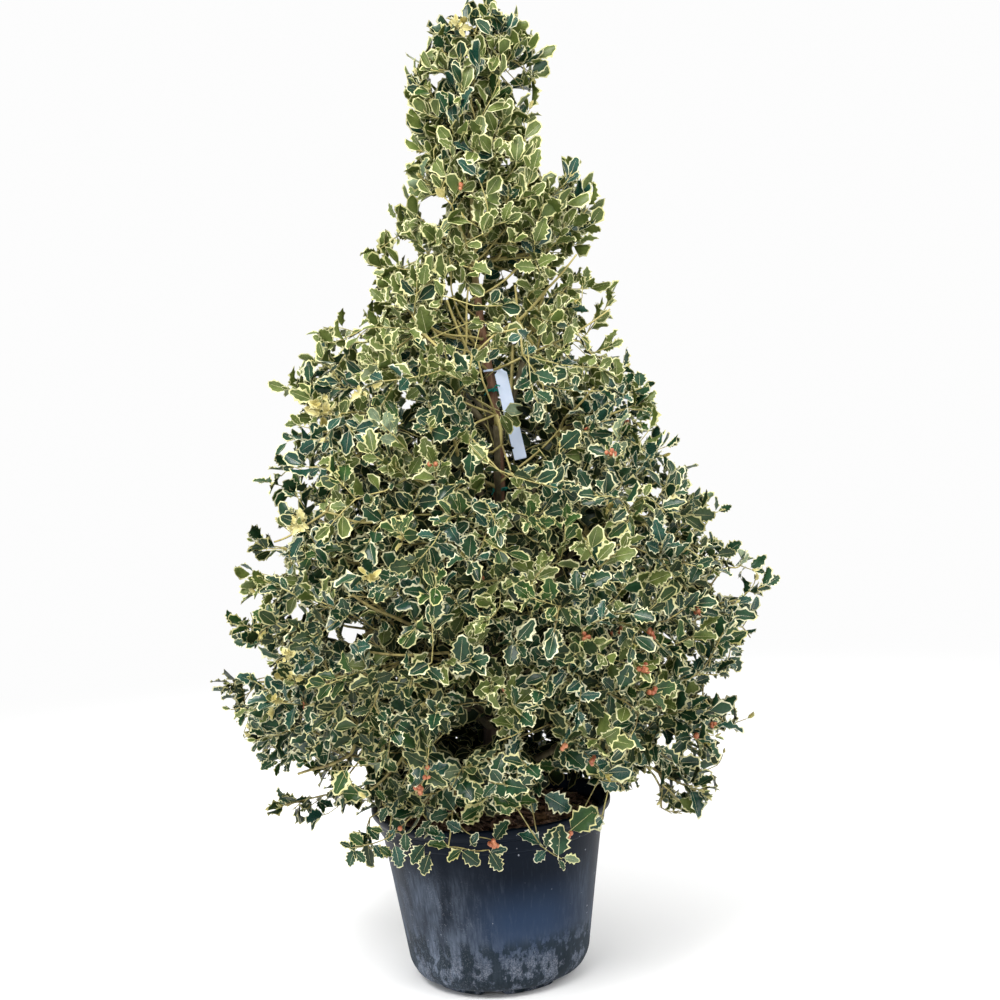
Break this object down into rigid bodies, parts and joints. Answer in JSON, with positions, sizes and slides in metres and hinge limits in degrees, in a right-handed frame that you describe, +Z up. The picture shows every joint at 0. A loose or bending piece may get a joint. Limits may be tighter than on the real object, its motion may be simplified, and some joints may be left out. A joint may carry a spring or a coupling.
{
  "type": "potted holly tree",
  "caption": "Silver-margined holly grown as a loose leafy pyramid in a round dark plastic nursery pot, with a leaning trunk, spreading boughs and a blank white label.",
  "frame": {"origin": "centre of the pot's flat underside, on the surface that it stands on", "axes": "+Z up through the pot, -Y towards the front of the plant where the label hangs, +X to the viewer's right"},
  "size_m": [1.3312, 1.1856, 2.2543],
  "materials": {
    "pot_plastic": "satin, dusty and scuffed",
    "compost": "matte, loose bark and fibre",
    "bark": "matte, smooth grey-brown to olive",
    "foliage": "glossy, cream margins",
    "label_plastic": "satin, blank",
    "tie_plastic": "satin"
  },
  "bodies": {
    "root": {"pot": "pot_plastic", "soil": "compost", "trunk": "bark", "label": "label_plastic", "upper_tie": "tie_plastic", "lower_tie": "tie_plastic", "skirt_bough_1": "bark", "skirt_bough_2": "bark", "skirt_bough_3": "bark", "skirt_bough_4": "bark", "skirt_bough_5": "bark", "skirt_bough_6": "bark", "low_bough_1": "bark", "low_bough_2": "bark", "low_bough_3": "bark", "low_bough_4": "bark", "low_bough_5": "bark", "low_bough_6": "bark", "middle_bough_1": "bark", "middle_bough_2": "bark", "middle_bough_3": "bark", "middle_bough_4": "bark", "middle_bough_5": "bark", "shoulder_bough_1": "bark", "shoulder_bough_2": "bark", "shoulder_bough_3": "bark", "shoulder_bough_4": "bark", "neck_bough_1": "bark", "neck_bough_2": "bark", "neck_bough_3": "bark", "skirt_foliage_1": "foliage", "skirt_foliage_2": "foliage", "skirt_foliage_3": "foliage", "skirt_foliage_4": "foliage", "skirt_foliage_5": "foliage", "skirt_foliage_6": "foliage", "low_foliage_1": "foliage", "low_foliage_2": "foliage", "low_foliage_3": "foliage", "low_foliage_4": "foliage", "low_foliage_5": "foliage", "low_foliage_6": "foliage", "middle_foliage_1": "foliage", "middle_foliage_2": "foliage", "middle_foliage_3": "foliage", "middle_foliage_4": "foliage", "middle_foliage_5": "foliage", "shoulder_foliage_1": "foliage", "shoulder_foliage_2": "foliage", "shoulder_foliage_3": "foliage", "shoulder_foliage_4": "foliage", "neck_foliage_1": "foliage", "neck_foliage_2": "foliage", "neck_foliage_3": "foliage", "column_foliage_1": "foliage", "column_foliage_2": "foliage", "column_foliage_3": "foliage", "top_foliage_1": "foliage", "top_foliage_2": "foliage", "leader_foliage_1": "foliage"}
  },
  "joints": []
}
